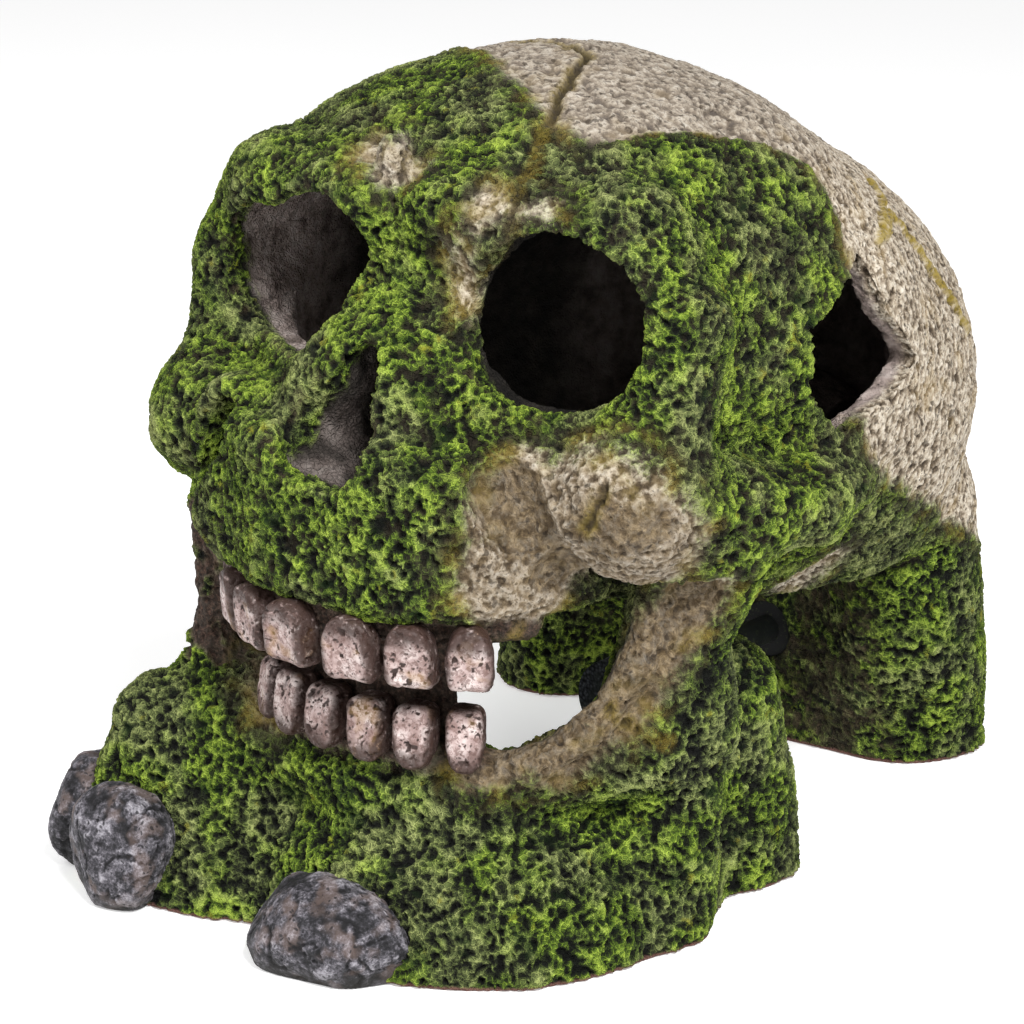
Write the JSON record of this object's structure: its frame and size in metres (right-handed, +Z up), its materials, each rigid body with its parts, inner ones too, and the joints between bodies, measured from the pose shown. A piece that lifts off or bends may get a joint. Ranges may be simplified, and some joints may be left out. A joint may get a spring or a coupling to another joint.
{
  "type": "bubbling skull aquarium ornament",
  "caption": "Moss-covered skull on a rocky base with hollow eyes, nose, temple and mouth, an air inlet at the back and a pull-off air stone inside.",
  "frame": {"origin": "centre of the footprint box, on the floor the ornament stands on", "axes": "+Z up, the face looks along -Y, the skull's own left side is +X"},
  "size_m": [0.139, 0.207, 0.1604],
  "materials": {
    "bone_resin": "matt painted cast resin, bone and moss colours",
    "tooth_resin": "satin painted cast resin, pitted",
    "moss_resin": "matt painted cast resin with a moss relief",
    "stone_resin": "matt painted cast resin, dry-brushed grey",
    "air_fittings": "moulded plastic",
    "grommet_rubber": "soft rubber",
    "air_stone": "porous bonded mineral"
  },
  "bodies": {
    "ornament": {"frontal_bone": "bone_resin", "left_parietal_bone": "bone_resin", "right_parietal_bone": "bone_resin", "left_temporal_bone": "bone_resin", "right_temporal_bone": "bone_resin", "occipital_bone": "bone_resin", "upper_jaw": "bone_resin", "left_cheekbone": "bone_resin", "right_cheekbone": "bone_resin", "lower_jaw": "bone_resin", "left_upper_incisor_tooth": "tooth_resin", "right_upper_incisor_tooth": "tooth_resin", "left_upper_lateral_tooth": "tooth_resin", "right_upper_lateral_tooth": "tooth_resin", "left_upper_canine_tooth": "tooth_resin", "right_upper_canine_tooth": "tooth_resin", "right_upper_premolar_tooth": "tooth_resin", "left_lower_incisor_tooth": "tooth_resin", "right_lower_incisor_tooth": "tooth_resin", "left_lower_lateral_tooth": "tooth_resin", "right_lower_lateral_tooth": "tooth_resin", "left_lower_canine_tooth": "tooth_resin", "right_lower_canine_tooth": "tooth_resin", "front_mound": "moss_resin", "rear_mound": "moss_resin", "outer_stone": "stone_resin", "inner_stone": "stone_resin", "front_stone": "stone_resin", "air_tube": "air_fittings", "air_inlet_spigot": "air_fittings", "tube_grommet": "grommet_rubber"},
    "air_stone": {"air_stone": "air_stone", "air_stone_nipple": "air_fittings"}
  },
  "joints": [
    {"name": "air_stone_pull", "type": "slide", "parent": "ornament", "child": "air_stone", "axis": [0, -1, 0], "range_m": [0, 0.012]}
  ]
}
